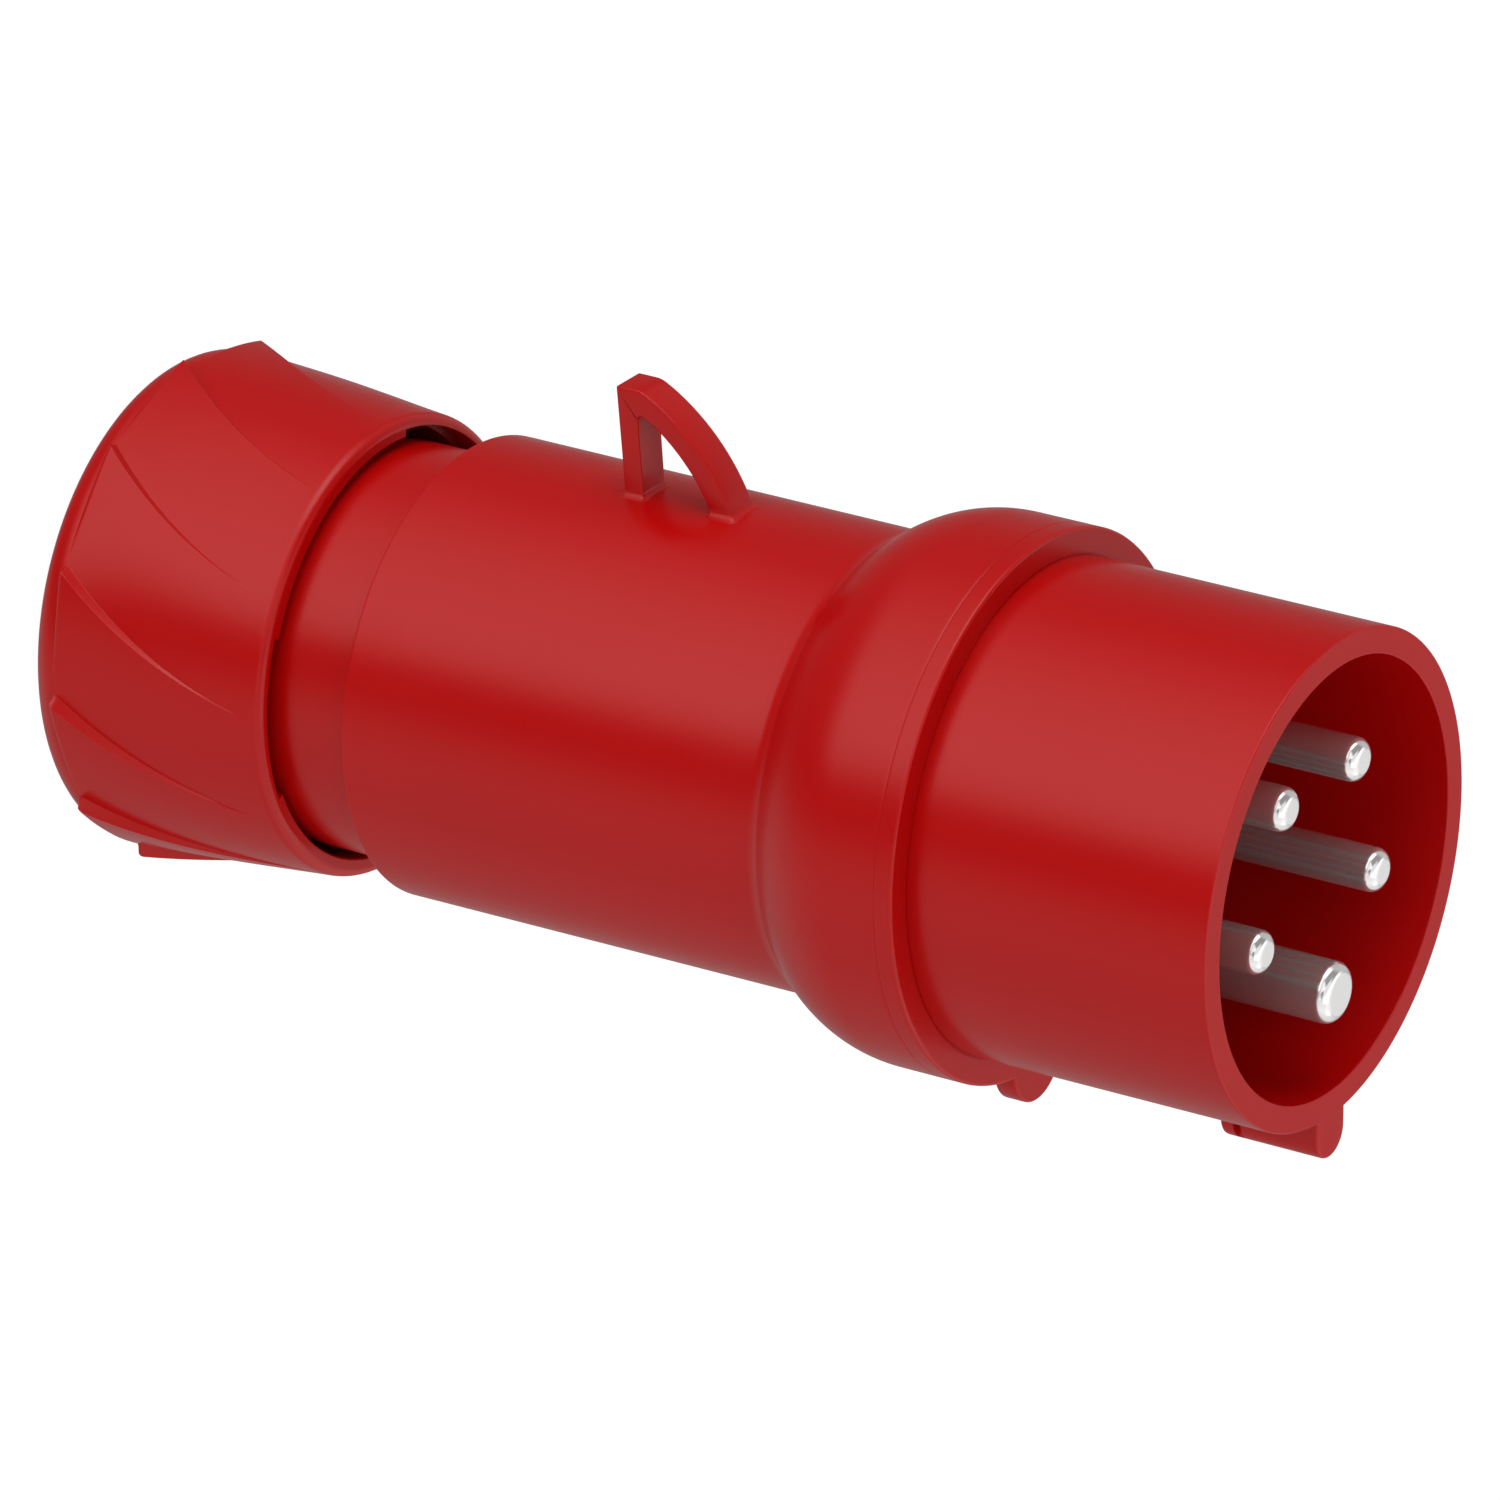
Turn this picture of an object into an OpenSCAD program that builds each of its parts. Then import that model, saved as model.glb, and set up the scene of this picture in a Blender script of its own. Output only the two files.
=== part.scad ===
// Industrial pin and sleeve plug: three phases, neutral and earth.
// It stands on the back of its cap. The axis is Z, the mouth of the sleeve is up,
// the hanging loop is on the -X side, and the key and the earth pin are on the +X side.

/* [Overall] */
// Length from the back of the cap to the mouth of the sleeve
overall_h = 151.7; // [150:0.1:154]

/* [Sleeve] */
// Outer radius of the contact sleeve
sleeve_r = 28; // [27.6:0.1:28.4]
// Radius of the hole at the mouth of the sleeve
mouth_r = 24.9; // [24.6:0.1:25.2]
// Depth of the sleeve, from its mouth to the contact carrier
sleeve_depth = 36; // [35:0.5:36.5]
// Radius of the flange and of the collar behind it
collar_r = 31.25; // [30.8:0.05:31.6]
// Distance from the mouth to the front of the flange
flange_front = 36.9; // [36.7:0.1:37.2]
// Distance from the mouth to the seam between the flange and the housing
seam = 39.15; // [39:0.05:39.3]

/* [Key and lug] */
// Width of the key, which has a half-round bottom
key_w = 5.9; // [5:0.1:7]
// Distance from the axis to the bottom of the key
key_reach = 32.8; // [32:0.1:34]
// Length of the key
key_l = 12; // [11:0.5:14]
// Radius of the half-round lug on the flange
lug_r = 4.9; // [4:0.1:5.2]
// Distance from the axis to the bottom of the lug
lug_reach = 35.25; // [34:0.05:36]

/* [Contacts] */
// Radius of the circle on which the pins stand
pin_circle_r = 13.3; // [13:0.1:13.6]
// Radius of a phase pin or the neutral pin
phase_r = 2.5; // [2.4:0.05:2.6]
// Radius of the earth pin
earth_r = 3.5; // [3.4:0.05:3.6]
// Distance from the mouth to the tips of the phase pins
phase_tip = 1.1; // [0.5:0.1:4]
// How far behind the mouth the tip of the earth pin is: below zero it stands out
earth_tip = -0.9; // [-1:0.1:2]

/* [Housing] */
// Radius of the body just behind the collar
body_r = 26.25; // [26:0.05:26.4]
// Radius of the body at its back edge
body_back_r = 26.4; // [26.3:0.1:26.6]
// Distance from the mouth to the back edge of the body
body_back = 110.8; // [110:0.1:111.5]
// Radius of the smooth neck
neck_r = 23.4; // [23.2:0.1:23.5]
// Thickness of the body's wall
wall = 2.9; // [2.6:0.1:3.1]

/* [Hanging loop] */
// Thickness of the loop across the plug
loop_t = 4.6; // [4:0.1:6]
// Width of the loop's strap
loop_w = 2.45; // [2:0.05:2.6]
// Distance from the axis to the top of the loop
loop_reach = 39; // [38:0.1:40]

/* [Cap] */
// Distance from the mouth to the front lip of the cap
lip = 121.65; // [121.5:0.05:122]
// Radius of the cap at its lip, before the rounding
cap_front_r = 26.5; // [26.4:0.1:26.8]
// Radius of the cap at its back, before the rounding
cap_back_r = 28.95; // [28.4:0.05:29.1]
// Number of swirled ribs
ribs = 12; // [10:1:14]
// Height of a rib at its back end
rib_h = 1.35; // [0.8:0.05:1.6]
// Angle that a rib turns through from the back of the cap to its lip
rib_sweep = 26; // [20:1:36]
// Width in degrees of the three gaps in the lip
gap_angle = 45; // [35:0.5:50]

/* [Hidden] */
$fn = 96;

red = "#b3211f";
inner_red = "#9e1b1b";
nickel = "#c9c7c2";
steel = "#9a9da0";
rubber = "#26272a";
grey = "#8c8f92";

edge_r = 0.6;
floor_r = 24.6;
ledge_front = 38.2;
ledge_back = 41.2;
ledge_r = 22.6;
spigot_r = 27.4;
spigot_in_r = 25.6;
spigot_end = 44;
groove_r = 26.2;
groove = [40.8, 42.8];

bulge_start = 45.45;
bulge_r = 16.4;
bulge_turn = 33;
shoulder_r = 6;
foot_fillet_r = 1;
socket_r = 27.5;
socket_end = 45.4;
cavity_r = body_r - wall;
cavity = [57, 103];
gland_r = 19.6;
gland_stop_r = 17;
gland_stop = 108.5;
neck_end = 122.8;
thread_core_r = 22.2;
thread_end = 138.8;
keyway_r = 20.8;
keyway_start = 122.6;
keyways = 3;

disc_r = 24.3;
base_r = 22.3;
base_back = 43;
block_back = 59.5;
tube_w = 1.3;
hub_r = 8;
hub_back = 52;
cover_r = 22;
chamber_front = 46;
cover_t = 2;
pin_gap = 0.05;
pin_shoulder_w = 0.4;
pin_shoulder_at = 34.5;
barrel_r = 4.3;
earth_barrel_r = 4.8;
chamber_gap = 0.3;
wire_hole_r = 2.3;
wire_hole_front = 50;
clamp_at = 54;
screw_r = 1.75;
screw_hole_r = 1.8;
head_r = 2.6;
fixing_circle_r = 18.8;
fixing_angles = [108, 252];
fixing_head_r = 3;
fixing_head_h = 1.8;
post_r = 3.5;
post_l = 14;

loop_back = 90.05;
loop_foot_back = 88.9;
loop_arc_r = 24.75;
loop_arc_at = [97.9, 16.8];
loop_foot_fillet = 1;

rib_back = 3.7;
back_round_r = 3.8;
lip_round_r = 1.2;
tab_r = 24.45;
gap_r = 25.4;
gap_at = 30.7;
tab_l = 3.3;
lip_bore_r = 25;
thread_r = 23.45;
thread = [132.5, 143];
nut_chamber_r = 22.6;
back_wall = 148.3;
cable_hole_r = 10.5;

// Height above the back of the cap of a place given by its distance from the mouth
function at(d) = overall_h - d;

// Points on an arc of radius r about c, from angle a to angle b
function arc(c, r, a, b, n = 8) = [for (i = [0:n]) let (t = a + (b - a) * i / n) c + r * [cos(t), sin(t)]];

// A ring between two radii and two distances from the mouth
module ring(r_in, r_out, front, back) {
    translate([0, 0, at(back)])
        difference() {
            cylinder(r = r_out, h = back - front);
            translate([0, 0, -1])
                cylinder(r = r_in, h = back - front + 2);
        }
}

// A disc between two distances from the mouth
module disc(r, front, back) {
    translate([0, 0, at(back)])
        cylinder(r = r, h = back - front);
}

// Contact sleeve, flange, spigot, key and lug in one moulding
module shroud() {
    profile = concat(
        [[mouth_r, at(edge_r / 2)], [mouth_r + edge_r / 2, at(0)]],
        arc([sleeve_r - edge_r, at(edge_r)], edge_r, 90, 0),
        [[sleeve_r, at(flange_front)]],
        arc([collar_r - edge_r, at(flange_front + edge_r)], edge_r, 90, 0),
        [[collar_r, at(seam)], [spigot_r, at(seam)], [spigot_r, at(groove[0])], [groove_r, at(groove[0])],
         [groove_r, at(groove[1])], [spigot_r, at(groove[1])], [spigot_r, at(spigot_end)],
         [spigot_in_r, at(spigot_end)], [spigot_in_r, at(ledge_back)], [ledge_r, at(ledge_back)],
         [ledge_r, at(ledge_front)], [floor_r, at(ledge_front)]]);
    color(red) {
        rotate_extrude()
            polygon(profile);
        sleeve_key();
        flange_lug();
    }
}

// Key along the sleeve, with a half-round bottom, a rounded back corner and a groove across it
module sleeve_key() {
    corner = 1.7;
    groove_w = 0.9;
    groove_back = 10.5;
    side = concat([[sleeve_r - 1, 0], [key_reach, 0]],
                  arc([key_reach - corner, key_l - corner], corner, 0, 90),
                  [[sleeve_r - 1, key_l]]);
    difference() {
        intersection() {
            translate([0, 0, at(key_l)])
                linear_extrude(key_l) {
                    translate([key_reach - key_w / 2, 0])
                        circle(r = key_w / 2);
                    translate([sleeve_r - 1, -key_w / 2])
                        square([key_reach - key_w / 2 - sleeve_r + 1, key_w]);
                }
            translate([0, key_w, at(0)])
                rotate([90, 0, 0])
                    mirror([0, 1, 0])
                        linear_extrude(2 * key_w)
                            polygon(side);
        }
        for (s = [-1, 1])
            translate([sleeve_r + 0.3, s * key_w / 2 - key_w / 6, at(groove_back)])
                cube([key_reach - sleeve_r, key_w / 3, groove_w]);
    }
}

// Half-round lug at the edge of the flange
module flange_lug() {
    translate([0, 0, at(seam)])
        difference() {
            translate([lug_reach - lug_r, 0, 0])
                cylinder(r = lug_r, h = seam - flange_front);
            translate([0, 0, -1])
                cylinder(r = collar_r - 1, h = seam - flange_front + 2);
        }
}

// Sealing ring in the groove of the spigot
module front_gasket() {
    color(rubber)
        ring(groove_r + pin_gap, socket_r - pin_gap, groove[0] + 0.1, groove[1] - 0.1);
}

// Places of the contacts: the earth pin is at 0 degrees, by the key
function contact_angle(i) = i * 72;

// Insert that closes the sleeve: a disc that rests on the sleeve's ledge, with a tube for each
// terminal, a tube for each fixing screw and a hub behind it
module contact_carrier() {
    seat_r = 2;
    seat_h = 1.2;
    color(inner_red)
        difference() {
            union() {
                disc(disc_r, sleeve_depth, ledge_front);
                disc(base_r, ledge_front, base_back);
                disc(hub_r, base_back, hub_back);
                for (i = [0:4])
                    contact_place(i) {
                        disc(contact_r(i) + seat_r, sleeve_depth - seat_h, sleeve_depth + 0.5);
                        disc(chamber_r(i) + tube_w, base_back, block_back);
                    }
                fixing_places()
                    disc(screw_r + 0.2 + tube_w, base_back, block_back);
            }
            for (i = [0:4])
                contact_place(i) {
                    disc(contact_r(i) + pin_shoulder_w + pin_gap, sleeve_depth - 2 * seat_h, chamber_front + 1);
                    disc(chamber_r(i), chamber_front, block_back + 1);
                    translate([0, 0, at(clamp_at)])
                        rotate([0, 90, 0])
                            cylinder(r = head_r + 0.6, h = base_r);
                }
            fixing_places() {
                disc(fixing_head_r + 0.3, sleeve_depth - 1, sleeve_depth + fixing_head_h + 0.2);
                disc(screw_r + 0.2, sleeve_depth + 1, block_back + 1);
            }
        }
}

function contact_r(i) = i == 0 ? earth_r : phase_r;
function terminal_r(i) = i == 0 ? earth_barrel_r : barrel_r;
function chamber_r(i) = terminal_r(i) + chamber_gap;
function contact_tip(i) = i == 0 ? earth_tip : phase_tip;

// Puts a child at the place of contact i, with +X pointing away from the plug's axis
module contact_place(i) {
    rotate([0, 0, contact_angle(i)])
        translate([pin_circle_r, 0, 0])
            children();
}

// Puts children at each of the fixing screws
module fixing_places() {
    for (a = fixing_angles)
        rotate([0, 0, a])
            translate([fixing_circle_r, 0, 0])
                children();
}

// Plate that keeps the terminals in their chambers
module terminal_cover() {
    color(grey)
        difference() {
            disc(cover_r, block_back, block_back + cover_t);
            for (i = [0:4])
                contact_place(i)
                    disc(wire_hole_r + 0.9, block_back - 1, block_back + cover_t + 1);
            fixing_places()
                disc(screw_r + 0.2, block_back - 1, block_back + cover_t + 1);
            disc(3, block_back - 1, block_back + cover_t + 1);
        }
}

// Turned pin with a rounded edge at its flat tip and a terminal barrel, drilled for the wire and the clamping screw
module pin(i) {
    r = contact_r(i);
    round_r = 0.8;
    back = block_back - 0.1;
    profile = concat(
        [[0, at(back)], [0, at(contact_tip(i))]],
        arc([r - round_r, at(contact_tip(i) + round_r)], round_r, 90, 0),
        [[r, at(pin_shoulder_at)], [r + pin_shoulder_w, at(pin_shoulder_at)], [r + pin_shoulder_w, at(chamber_front)],
         [terminal_r(i), at(chamber_front)], [terminal_r(i), at(back)]]);
    color(nickel)
        contact_place(i)
            difference() {
                rotate_extrude()
                    polygon(profile);
                disc(wire_hole_r, wire_hole_front, back + 1);
                translate([0, 0, at(clamp_at)])
                    rotate([0, 90, 0])
                        cylinder(r = screw_hole_r, h = terminal_r(i) + 1);
            }
}

// Leaf spring between the clamping screw and the wire, bent outwards at its mouth
module wire_guard(i) {
    leaf_w = 2.4;
    leaf_t = 0.3;
    leaf_at = 1.5;
    front = wire_hole_front + 0.5;
    back = block_back - 1;
    lead = 1.5;
    path = [[leaf_at, at(front)], [leaf_at - 0.4, at(front + lead)], [leaf_at - 0.4, at(back - lead)],
            [leaf_at, at(back)]];
    color(steel)
        contact_place(i)
            translate([0, leaf_w / 2, 0])
                rotate([90, 0, 0])
                    linear_extrude(leaf_w)
                        polygon(concat(path, [for (k = [3:-1:0]) path[k] + [leaf_t, 0]]));
}

// Clamping screws, one in each terminal, reached from the side of the insert
module terminal_screws() {
    tip = 1.5;
    head_h = 1.8;
    slot = [0.7, 1];
    color(steel)
        for (i = [0:4])
            contact_place(i)
                translate([0, 0, at(clamp_at)])
                    rotate([0, 90, 0])
                        difference() {
                            union() {
                                translate([0, 0, tip])
                                    cylinder(r = screw_r, h = terminal_r(i) + 0.1 - tip);
                                translate([0, 0, terminal_r(i) + 0.1])
                                    cylinder(r = head_r, h = head_h);
                            }
                            translate([-head_r - 1, -slot[0] / 2, terminal_r(i) + 0.1 + head_h - slot[1]])
                                cube([2 * head_r + 2, slot[0], slot[1] + 1]);
                        }
}

// Long screws from the bottom of the sleeve into the posts of the housing, with cross recesses
module insert_screws() {
    recess = [2.6, 0.7, 1.1];
    head_back = sleeve_depth + 0.2 + fixing_head_h;
    color(steel)
        fixing_places()
            difference() {
                union() {
                    disc(fixing_head_r, sleeve_depth + 0.2, head_back);
                    disc(screw_r, head_back, block_back + cover_t + post_l - 2);
                }
                for (a = [0, 90])
                    rotate([0, 0, a])
                        translate([-recess[0] / 2, -recess[1] / 2, at(sleeve_depth + 0.2 + recess[2])])
                            cube([recess[0], recess[1], recess[2] + 1]);
            }
}

// Radius of the shoulder's second arc and its end slope follow from the body's radius
shoulder_top_r = collar_r - bulge_r * (1 - cos(bulge_turn));
shoulder_end = acos((body_r + foot_fillet_r - shoulder_top_r + shoulder_r * cos(bulge_turn))
                    / (shoulder_r + foot_fillet_r));

// Outline of the swollen collar: a wide arc, a tighter arc and a fillet to the body
function bulge_outline() =
    let (c1 = [collar_r - bulge_r, at(bulge_start)],
         p1 = c1 + bulge_r * [cos(bulge_turn), -sin(bulge_turn)],
         c2 = p1 - shoulder_r * [cos(bulge_turn), -sin(bulge_turn)],
         p2 = c2 + shoulder_r * [cos(shoulder_end), -sin(shoulder_end)],
         c3 = p2 + foot_fillet_r * [cos(shoulder_end), -sin(shoulder_end)])
    concat(arc(c1, bulge_r, 0, -bulge_turn, 10), arc(c2, shoulder_r, -bulge_turn - 5, -shoulder_end, 4),
           arc(c3, foot_fillet_r, 180 - shoulder_end, 180, 4));

// Body with its collar, neck, inner posts and hanging loop in one moulding
module housing() {
    profile = concat(
        [[socket_r, at(seam)], [collar_r, at(seam)]],
        bulge_outline(),
        arc([body_back_r - edge_r, at(body_back - edge_r)], edge_r, 0, -90, 4),
        [[neck_r, at(body_back)], [neck_r, at(neck_end)], [thread_core_r, at(neck_end)],
         [thread_core_r, at(thread_end)], [gland_r, at(thread_end)], [gland_r, at(gland_stop)],
         [gland_stop_r, at(gland_stop)], [gland_stop_r, at(gland_stop - 2)], [cavity_r, at(cavity[1])],
         [cavity_r, at(cavity[0])], [socket_r, at(socket_end)]]);
    color(red)
        difference() {
            union() {
                rotate_extrude()
                    polygon(profile);
                fixing_places()
                    fixing_post();
                hanging_loop();
            }
            fixing_places()
                disc(screw_r + pin_gap, block_back, block_back + cover_t + post_l - 1);
            for (k = [0:keyways - 1])
                rotate([0, 0, 60 + 360 / keyways * k])
                    translate([0, -2.2, at(thread_end + 1)])
                        cube([keyway_r, 4.4, thread_end + 1 - keyway_start]);
        }
}

// Post for a fixing screw, joined to the wall of the body by a rib
module fixing_post() {
    translate([0, 0, at(block_back + cover_t + post_l)])
        linear_extrude(post_l) {
            circle(r = post_r);
            translate([0, -post_r])
                square([cavity_r - fixing_circle_r + 0.5, 2 * post_r]);
        }
}

// Loop: an upright back leg and an arched front strap, in the plane through the plug's axis
module hanging_loop() {
    root = body_r - 1.5;
    inner_back = loop_back - loop_w - 0.25;
    inner_foot = loop_foot_back - loop_w + 0.1;
    reach = loop_reach + 5;
    lean = (loop_back - loop_foot_back) / (loop_reach - root);
    translate([0, loop_t / 2, 0])
        rotate([90, 0, 0])
            linear_extrude(loop_t) {
                difference() {
                    intersection() {
                        loop_disc(loop_arc_r);
                        polygon([[-root, at(loop_foot_back)], [-loop_reach, at(loop_back)],
                                 [-loop_reach, at(loop_back - 30)], [-root, at(loop_back - 30)]]);
                    }
                    intersection() {
                        loop_disc(loop_arc_r - loop_w);
                        polygon([[-root, at(inner_foot)], [-reach, at(inner_back + 5 * lean)],
                                 [-reach, at(inner_back - 30)], [-root, at(inner_back - 30)]]);
                    }
                }
                foot_fillet(loop_foot_back + 0.1, 1);
                foot_fillet(inner_foot + 0.1, -1);
                foot_fillet(loop_arc_foot(loop_arc_r - loop_w) + 0.25, 1);
                foot_fillet(loop_arc_foot(loop_arc_r) + 0.1, -1);
            }
}

// Distance from the mouth at which an arch of radius r meets the body
function loop_arc_foot(r) = loop_arc_at[0] - sqrt(r ^ 2 - (body_r - loop_arc_at[1]) ^ 2);

// Disc whose edge is the arch of the loop
module loop_disc(r) {
    translate([-loop_arc_at[1], at(loop_arc_at[0])])
        circle(r = r);
}

// Fillet between the body and a face of the loop, behind the face for side 1, before it for -1
module foot_fillet(d, side) {
    f = loop_foot_fillet;
    polygon(concat([[-body_r + 0.3, at(d - side * 0.3)], [-body_r - f, at(d - side * 0.3)]],
                   [for (a = [90:-15:0]) [-body_r - f + f * cos(a), at(d + side * (f - f * sin(a)))]],
                   [[-body_r + 0.3, at(d + side * f)]]));
}

// Rubber grommet with tear-out rings on its back face
module cable_seal() {
    r = gland_r - 0.2;
    hole_r = 7.5;
    back = 122;
    ring_w = 1.2;
    rings = [13.5, 10.5];
    profile = concat(
        [[hole_r, at(gland_stop)], [r, at(gland_stop)], [r, at(back - 1)], [r - 1, at(back)]],
        [for (q = rings) each [[q + ring_w, at(back)], [q + ring_w / 2, at(back - 2)], [q, at(back)]]],
        [[hole_r, at(back)]]);
    color(rubber)
        rotate_extrude()
            polygon(profile);
}

// Ring of clamping fingers, with keys that run in the keyways of the neck
module clamp_cage() {
    fingers = 10;
    tip = 132;
    root = 141;
    back = 146.9;
    r = gland_r - 0.4;
    slot_w = 2.2;
    profile = [[cable_hole_r - 0.1, at(back)], [r, at(back)], [r, at(tip + 2)], [r - 1.2, at(tip)],
               [r - 3.4, at(tip)], [r - 4.2, at(tip + 1.5)], [r - 3, at(root - 1)],
               [cable_hole_r - 0.1, at(root + 1)]];
    color(grey)
        difference() {
            union() {
                rotate_extrude()
                    polygon(profile);
                for (k = [0:keyways - 1])
                    rotate([0, 0, 60 + 360 / keyways * k])
                        translate([r - 1.5, -1.9, at(back - 0.5)])
                            cube([keyway_r - 0.3 - r + 1.5, 3.8, back - tip - 1.5]);
            }
            for (k = [0:fingers - 1])
                rotate([0, 0, 360 / fingers * (k + 0.5)])
                    translate([0, -slot_w / 2, at(root - 0.5)])
                        cube([keyway_r, slot_w, root - tip + 5]);
        }
}

// Slip ring between the cage and the back wall of the cap
module thrust_washer() {
    color(steel)
        ring(cable_hole_r + 0.3, gland_r - 0.6, 147, 148.2);
}

// Radius of the bare cap at height z
function cap_r(z) =
    let (lip_z = at(lip),
         cone = cap_back_r + (cap_front_r - cap_back_r) * z / lip_z,
         low = max(back_round_r - z, 0),
         high = max(z - lip_z + lip_round_r, 0))
    cone - back_round_r + sqrt(back_round_r ^ 2 - low ^ 2) - lip_round_r + sqrt(lip_round_r ^ 2 - high ^ 2);

// How far a rib has turned at height z: quickly at the back, slower towards the lip
function rib_turn(z) =
    let (t = min(max(z - rib_back, 0) / (at(lip) - rib_back), 1))
    rib_sweep * (1.55 * t - 0.55 * t ^ 2);

// Height of the ribs at height z: full at the back, none at the lip
function rib_height(z) = z < rib_back ? 0 : rib_h * (1 - (z - rib_back) / (at(lip) - rib_back));

// Share of the rib's height left at fraction f of the way to the next rib
function rib_fall(f) = (1 - f) ^ 2;

// Solid of the cap: rings of points that swirl with the ribs, each rib a steep wall and a long fall
module cap_solid() {
    steps = [0, 0.1, 0.22, 0.38, 0.58, 0.8];
    wall_angle = 1.2;
    lip_z = at(lip);
    heights = concat([for (a = [0:18:72]) back_round_r * (1 - cos(a))],
                     [rib_back - 0.5, rib_back],
                     [for (k = [1:9]) rib_back + (lip_z - lip_round_r - rib_back) * k / 9],
                     [for (a = [30:30:90]) lip_z - lip_round_r * (1 - sin(a))]);
    spacing = 360 / ribs;
    row = ribs * (len(steps) + 1);
    function point(j, z) =
        let (k = floor(j / (len(steps) + 1)),
             m = j % (len(steps) + 1),
             f = m == 0 ? 0 : steps[m - 1],
             a = 4 + spacing * k + rib_turn(z) + (m == 0 ? -wall_angle : f * (spacing - wall_angle)),
             r = cap_r(z) + (m == 0 ? 0 : rib_height(z) * rib_fall(f)))
        [r * cos(a), r * sin(a), z];
    points = [for (z = heights) for (j = [0:row - 1]) point(j, z)];
    n = len(heights);
    sides = [for (i = [0:n - 2]) for (j = [0:row - 1])
        let (a = i * row + j, b = i * row + (j + 1) % row)
        each [[a, a + row, b], [b, a + row, b + row]]];
    polyhedron(points = points,
               faces = concat(sides, [[for (j = [0:row - 1]) j], [for (j = [row - 1:-1:0]) (n - 1) * row + j]]));
}

// Union nut: swirled outside, castellated lip, thread seat, chamber and cable hole
module cap() {
    color(red)
        difference() {
            cap_solid();
            disc(tab_r, lip - 1, lip + tab_l + 0.1);
            disc(lip_bore_r, lip + tab_l, thread[0]);
            disc(thread_r, thread[0] - 0.1, thread[1]);
            disc(nut_chamber_r, thread[1] - 0.1, back_wall);
            disc(cable_hole_r, back_wall - 1, overall_h + 1);
            for (k = [0:2])
                rotate([0, 0, gap_at + 120 * k - gap_angle / 2])
                    lip_gap();
        }
}

// Sector cut from the lip between two tabs
module lip_gap() {
    translate([0, 0, at(lip + tab_l + 0.4)])
        rotate_extrude(angle = gap_angle)
            translate([tab_r - 1, 0])
                square([gap_r - tab_r + 1, tab_l + 1.4]);
}

shroud();
front_gasket();
contact_carrier();
terminal_cover();
pin(1);  // pin_l1
pin(2);  // pin_l2
pin(3);  // pin_l3
pin(4);  // pin_n
pin(0);  // pin_earth
wire_guard(1);  // wire_guard_l1
wire_guard(2);  // wire_guard_l2
wire_guard(3);  // wire_guard_l3
wire_guard(4);  // wire_guard_n
wire_guard(0);  // wire_guard_earth
terminal_screws();
insert_screws();
housing();
cable_seal();
clamp_cage();
thrust_washer();
cap();
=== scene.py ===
import math

import bpy
import numpy as np
from mathutils import Matrix, Vector


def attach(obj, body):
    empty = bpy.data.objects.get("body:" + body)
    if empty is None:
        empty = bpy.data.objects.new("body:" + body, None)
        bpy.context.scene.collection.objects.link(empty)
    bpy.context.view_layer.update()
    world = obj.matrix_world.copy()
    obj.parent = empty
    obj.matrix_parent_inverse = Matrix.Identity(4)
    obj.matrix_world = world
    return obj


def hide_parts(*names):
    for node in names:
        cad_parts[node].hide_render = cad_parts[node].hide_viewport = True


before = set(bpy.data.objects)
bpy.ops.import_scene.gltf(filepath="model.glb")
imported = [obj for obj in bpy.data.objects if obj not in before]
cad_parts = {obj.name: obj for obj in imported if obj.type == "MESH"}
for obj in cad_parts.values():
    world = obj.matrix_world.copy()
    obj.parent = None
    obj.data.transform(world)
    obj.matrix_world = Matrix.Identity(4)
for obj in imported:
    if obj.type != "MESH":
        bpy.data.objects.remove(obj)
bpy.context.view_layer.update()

scene = bpy.context.scene
print("frame loaded:", len(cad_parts), "nodes")

# All lengths below are millimetres and all angles degrees. Places along the plug are given as the
# depth behind the mouth.
mm = 0.001
plugHeight = 151.7
sharpAngle = 32  # an edge that turns more than this stays sharp


# Height above the rear face of the cap: the plug's height less the depth behind its mouth.
def up(depth):
    return plugHeight - np.asarray(depth, float)


# Arc about (cx, cy): centre plus radius times (cos a, sin a), for angles from a0 to a1.
def arcPoints(centre, radius, a0, a1, steps):
    a = np.radians(np.linspace(a0, a1, steps + 1))
    return np.stack([centre[0] + radius * np.cos(a), centre[1] + radius * np.sin(a)], 1)


# Outline from corners (x, y, fillet). Each fillet is an arc that touches both sides of its corner,
# and a point is set just inside each end of a long side to keep the shading flat there.
def filletedOutline(corners, steps=5, guard=0.25, closed=True):
    corner = np.array([c[:2] for c in corners], float)
    count = len(corner)
    pieces = []
    for i in range(count):
        fillet = corners[i][2] if len(corners[i]) > 2 else 0
        if fillet <= 0 or (not closed and i in (0, count - 1)):
            pieces.append(corner[i:i + 1])
            continue
        back = corner[i - 1] - corner[i]
        ahead = corner[(i + 1) % count] - corner[i]
        back, ahead = back / np.linalg.norm(back), ahead / np.linalg.norm(ahead)
        half = math.acos(np.clip(back @ ahead, -1, 1)) / 2
        bisector = (back + ahead) / np.linalg.norm(back + ahead)
        centre = corner[i] + bisector * fillet / math.sin(half)
        first = corner[i] + back * fillet / math.tan(half) - centre
        last = corner[i] + ahead * fillet / math.tan(half) - centre
        t = np.linspace(0, 1, steps + 1)[:, None]
        swing = math.pi - 2 * half
        turnedPart = np.sin((1 - t) * swing) * first + np.sin(t * swing) * last
        pieces.append(centre + turnedPart / math.sin(swing))
    points = np.concatenate(pieces)
    side = np.roll(points, -1, axis=0) - points
    length = np.linalg.norm(side, axis=1)
    if not closed:
        length[-1] = 0
    inset = side * (guard / np.maximum(length, guard))[:, None]
    candidates = np.stack([points, points + inset, points + side - inset], 1)
    keep = np.ones((len(points), 3), bool)
    keep[:, 1:] = (length > 4 * guard)[:, None]
    return candidates[keep]


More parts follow.
